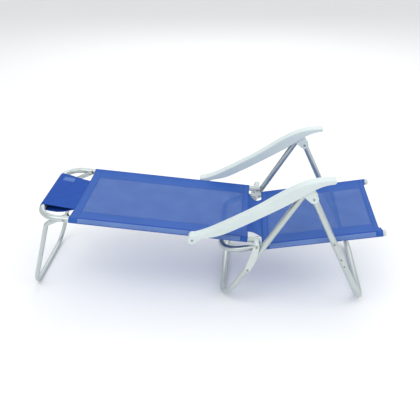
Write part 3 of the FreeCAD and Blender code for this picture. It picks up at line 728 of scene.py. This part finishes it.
@dataclass
class HeadSleeve:
    """Sleeve of close cloth that loops over the head bar and is sewn under the sling."""

    name: str = "head_pillow_sleeve"
    half_width: float = 0.148
    loop: float = 0.0138
    seam_s: float = 0.1345
    under: float = 0.0012
    far_sweep: float = 0.026
    near_sweep: float = 0.002
    droop: float = 0.0006
    hang: float = 0.011
    hang_power: float = 1.2
    seam_gap: float = 0.0016
    crease: float = 0.0004
    crease_waves: tuple[float, float] = (190.0, 47.0)
    crease_shift: float = 1.1
    crease_from: float = 0.05
    thickness: float = 0.0012
    rows_layer: int = 40
    rows_loop: int = 24
    columns: int = 60
    patch_s: tuple[float, float] = (0.016, 0.066)
    patch_y: tuple[float, float] = (0.082, 0.118)
    patch_lines: int = 8
    patch_lift: float = 0.0004
    patch_thickness: float = 0.0005

    def profile(self) -> np.ndarray:
        """Side section of the loop, from the seam over the bar and back below.

        The upper layer is a straight line with a half sine of droop, then half a
        circle round the bar, then a straight line with a half sine of hang.

        Returns:
            Distance along the plane and height over it, point by point.
        """
        f = np.linspace(0, 1, self.rows_layer)
        top_end = np.array([0.0, self.loop])
        seam = np.array([self.seam_s, BACK_DIP.low - self.under])
        upper = seam + (top_end - seam) * f[:, None]
        upper[:, 1] -= self.droop * np.sin(np.pi * f)
        turn = np.linspace(math.pi / 2, 3 * math.pi / 2, self.rows_loop)[1:]
        round_bar = self.loop * np.stack([np.cos(turn), np.sin(turn)], axis=-1)
        low_seam = seam - np.array([0.0, self.seam_gap])
        lower = round_bar[-1] + (low_seam - round_bar[-1]) * f[1:, None]
        lower[:, 1] -= self.hang * np.sin(np.pi * f[1:]) ** self.hang_power
        return np.concatenate([upper, round_bar, lower])

    def _relief(self, s: np.ndarray, y: np.ndarray) -> np.ndarray:
        """How far the cloth stands above its side section.

        The dip of the sling's hem grows with the square of the distance from the bar.
        On it lie faint creases, a sine along the cloth times a sine across it.

        Args:
            s: Distance from the bar.
            y: Distance across the chair.

        Returns:
            The heights.
        """
        away = np.clip(s / self.seam_s, 0, 1)
        dip = (BACK_DIP.height(y) - BACK_DIP.low) * away ** 2
        along, across = self.crease_waves
        crease = self.crease * np.sin(s * along) * np.sin(y * across + self.crease_shift)
        return dip + crease * (away > self.crease_from)

    def build(self) -> bpy.types.Object:
        """Make the sleeve and its blank patch.

        Each side edge sweeps inward toward the seam by a smooth step of the distance
        from the bar.

        Returns:
            The sleeve.
        """
        line = self.profile()
        steps = np.concatenate([[0.0], np.cumsum(np.hypot(*np.diff(line, axis=0).T))])
        u = np.linspace(-1, 1, self.columns)[None, :]
        away = np.clip(line[:, :1] / self.seam_s, 0, 1)
        swept = away ** 2 * (3 - 2 * away)
        near = -self.half_width + self.near_sweep * swept
        far = self.half_width - self.far_sweep * swept
        y = near + (far - near) * (u + 1) / 2
        points = BACK_PLANE.world(line[:, :1], y, line[:, 1:] + self._relief(line[:, :1], y))
        uv = np.stack(np.broadcast_arrays(y, steps[:, None]), axis=-1)
        points, uv = points[:, ::-1], uv[:, ::-1]
        piece = grid_piece(self.name, points, uv, self.thickness, [PillowCloth().build()])
        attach(piece, "backrest")
        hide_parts("head_pillow")
        log.info("%s: %.0f mm of cloth round the bar", self.name, steps[-1] / MM)
        self._patch(line[:self.rows_layer])
        return piece

    def _patch(self, line: np.ndarray) -> None:
        """Sew a blank oblong of lighter cloth on the upper layer.

        Args:
            line: Side section of the upper layer.
        """
        s = np.linspace(*self.patch_s, self.patch_lines)[:, None]
        y = np.linspace(self.patch_y[1], self.patch_y[0], self.patch_lines)[None, :]
        t = np.interp(s, line[::-1, 0], line[::-1, 1])
        lift = self.thickness / 2 + self.patch_lift
        points = BACK_PLANE.world(s, y, t + self._relief(s, y) + lift)
        uv = np.stack(np.broadcast_arrays(y, s), axis=-1)
        finish = PillowCloth("polyester_plain_weave_pale", warp="5B7DBC", weft="4A6CAE").build()
        piece = grid_piece("pillow_blank_patch", points, uv, self.patch_thickness, [finish])
        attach(piece, "backrest")


@dataclass
class Frame:
    """Metal and moulded parts carried over from the model, each given its finish."""

    tubes: tuple[str, ...] = ("seat_frame_tube", "seat_cross_tube", "backrest_frame_tube",
                              "front_leg_tube", "rear_leg_tube", "head_leg_tube")
    pressed: tuple[str, ...] = ("link_left", "link_right", "hinge_plate_left",
                                "hinge_plate_right")
    moulded: tuple[str, ...] = ("seat_end_caps", "cross_tube_plugs", "hinge_spacer_bushes",
                                "front_leg_spacers", "armrest_left", "armrest_right",
                                "knuckle_left", "knuckle_right", "backrest_end_plugs")
    rivets: tuple[str, ...] = ("hinge_pins", "hinge_plate_rivets", "front_leg_pivot_pins",
                               "armrest_pivot_pins", "head_leg_pivot_pins",
                               "knuckle_pivot_pins", "fold_stop_rivets_1",
                               "fold_stop_rivets_2", "rear_leg_pin_left",
                               "rear_leg_pin_right", "link_rivet_left", "link_rivet_right")

    def dress(self) -> None:
        """Give every carried-over part its finish."""
        tube = DrawnAluminium().build()
        plate = DrawnAluminium("anodised_aluminium_pressed", light="DDE2E2", dull="C4CBCB",
                               roughness=0.40).build()
        white = MouldedPlastic().build()
        for names, material in ((self.tubes, tube), (self.pressed, plate), (self.moulded, white)):
            for name in names:
                self._paint(name, material)
        for name in self.rivets:
            low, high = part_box(name)
            self._paint(name, ZincRivet(f"zinc_plated_{name}", (low[0] + high[0]) / 2,
                                        (low[2] + high[2]) / 2).build())

    def _paint(self, name: str, material: bpy.types.Material) -> None:
        """Put one material on all of a part's slots.

        Args:
            name: The part's name.
            material: Its finish.
        """
        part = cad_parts[name]
        for place in part.material_slots:
            place.material = material
        if not part.material_slots:
            part.data.materials.append(material)
        log.info("%s: %s", name, material.name)


# ----------------------------------------------------------------------------- the studio
@dataclass(frozen=True)
class Softbox:
    """A square soft light that faces the middle of the chair."""

    name: str
    place: tuple[float, float, float]
    size: float
    power: float
    target: tuple[float, float, float] = (0.0, 0.0, 0.25)

    def build(self) -> None:
        """Make the light and put it in the scene."""
        data = bpy.data.lights.new(self.name, "AREA")
        data.size = self.size
        data.energy = self.power
        lamp = bpy.data.objects.new(self.name, data)
        lamp.matrix_world = self._facing()
        bpy.context.scene.collection.objects.link(lamp)

    def _facing(self) -> Matrix:
        """Point the light's axis through its target.

        Returns:
            The light's placement.
        """
        back = np.array(self.place) - np.array(self.target)
        back = back / np.linalg.norm(back)
        right = np.cross((0.0, 0.0, 1.0), back)
        right = right / np.linalg.norm(right)
        upward = np.cross(back, right)
        turn = np.eye(4)
        turn[:3, 0], turn[:3, 1], turn[:3, 2], turn[:3, 3] = right, upward, back, self.place
        return Matrix(turn.tolist())


@dataclass
class Studio:
    """Pale floor, soft light and the camera.

    The view transform is Standard, so that the colours of the finishes come out as they
    are given. The camera's angles are in radians.
    """

    eye: tuple[float, float, float] = (0.1952, -2.2731, 1.5396)
    turn: float = -0.0741958
    tilt: float = 0.4992719
    roll: float = 0.0078453
    lens: float = 51.258
    sensor: float = 36.0
    floor_half: float = 14.0
    floor_drop: float = 0.0004
    sky: str = "F4F6F7"
    sky_strength: float = 0.82
    softboxes: tuple[Softbox, ...] = (
        Softbox("key_softbox", (-1.2, -2.2, 3.4), 3.2, 50.0),
        Softbox("fill_softbox", (2.6, -1.2, 2.6), 2.8, 30.0),
        Softbox("back_softbox", (0.0, 3.4, 3.2), 3.6, 52.0))

    def build(self) -> None:
        """Set up the floor, the lights and the camera."""
        self._floor()
        bpy.context.scene.view_settings.view_transform = "Standard"
        for softbox in self.softboxes:
            softbox.build()
        world = bpy.data.worlds.new("pale_studio")
        world.use_nodes = True
        sky = world.node_tree.nodes["Background"]
        sky.inputs["Color"].default_value = linear(self.sky)
        sky.inputs["Strength"].default_value = self.sky_strength
        bpy.context.scene.world = world
        self._camera()

    def _floor(self) -> None:
        """Lay a wide pale floor just under the feet."""
        material, tree = fresh_material("matt_paper_white")
        place = add_node(tree, "ShaderNodeTexCoord").outputs["Object"]
        cloud = add_node(tree, "ShaderNodeTexNoise", {"Vector": place, "Scale": 0.6})
        colour = add_node(tree, "ShaderNodeMix", {FACTOR: cloud.outputs["Fac"],
                                                  FIRST: linear("F8F9F9"),
                                                  SECOND: linear("FDFDFD")},
                          data_type="RGBA").outputs[MIXED]
        shader = add_node(tree, "ShaderNodeBsdfPrincipled", {"Base Color": colour,
                                                             "Roughness": 0.9})
        add_node(tree, "ShaderNodeOutputMaterial", {"Surface": shader.outputs["BSDF"]})
        half, level = self.floor_half, -self.floor_drop
        corners = [(-half, -half, level), (half, -half, level), (half, half, level),
                   (-half, half, level)]
        mesh = bpy.data.meshes.new("floor")
        mesh.from_pydata(corners, [], [(0, 1, 2, 3)])
        mesh.materials.append(material)
        floor = bpy.data.objects.new("floor", mesh)
        bpy.context.scene.collection.objects.link(floor)

    def _camera(self) -> None:
        """Place the camera: turned from straight along Y, tilted down, then rolled."""
        cos_a, sin_a = math.cos(self.turn), math.sin(self.turn)
        cos_b, sin_b = math.cos(self.tilt), math.sin(self.tilt)
        ahead = np.array([sin_a * cos_b, cos_a * cos_b, -sin_b])
        right = np.array([cos_a, -sin_a, 0.0])
        down = np.cross(ahead, right)
        right, down = (math.cos(self.roll) * right + math.sin(self.roll) * down,
                       -math.sin(self.roll) * right + math.cos(self.roll) * down)
        place = np.eye(4)
        place[:3, 0], place[:3, 1], place[:3, 2], place[:3, 3] = right, -down, -ahead, self.eye
        data = bpy.data.cameras.new("camera")
        data.lens = self.lens
        data.sensor_width = self.sensor
        camera = bpy.data.objects.new("camera", data)
        camera.matrix_world = Matrix(place.tolist())
        bpy.context.scene.collection.objects.link(camera)
        bpy.context.scene.camera = camera


def main() -> None:
    """Build the studio, the cloth and the finishes in order."""
    logging.basicConfig(level=logging.INFO, format="%(name)s: %(message)s")
    Studio().build()
    Frame().dress()
    SLING_FINISH.update({layer: SlingMesh(layer).build() for layer in Layer})
    SlingPanel("sling_backrest", "backrest", BACK_PLANE, BACK_DIP, BACK_START, BACK_END,
               replaces=("backrest_cloth",), sag=0.0012, sag_middle=0.55, head_hem=0.036,
               foot_hem=0.030).build()
    SlingPanel("sling_seat", "seat", SEAT_PLANE, SEAT_DIP, SEAT_START, SEAT_END,
               replaces=("seat_cloth",), sag=0.0006, sag_middle=0.35, head_hem=0.030,
               foot_hem=0.024, flare=0.010).build()
    HingeStrip().build()
    HeadSleeve().build()


if __name__ == "__main__":
    main()
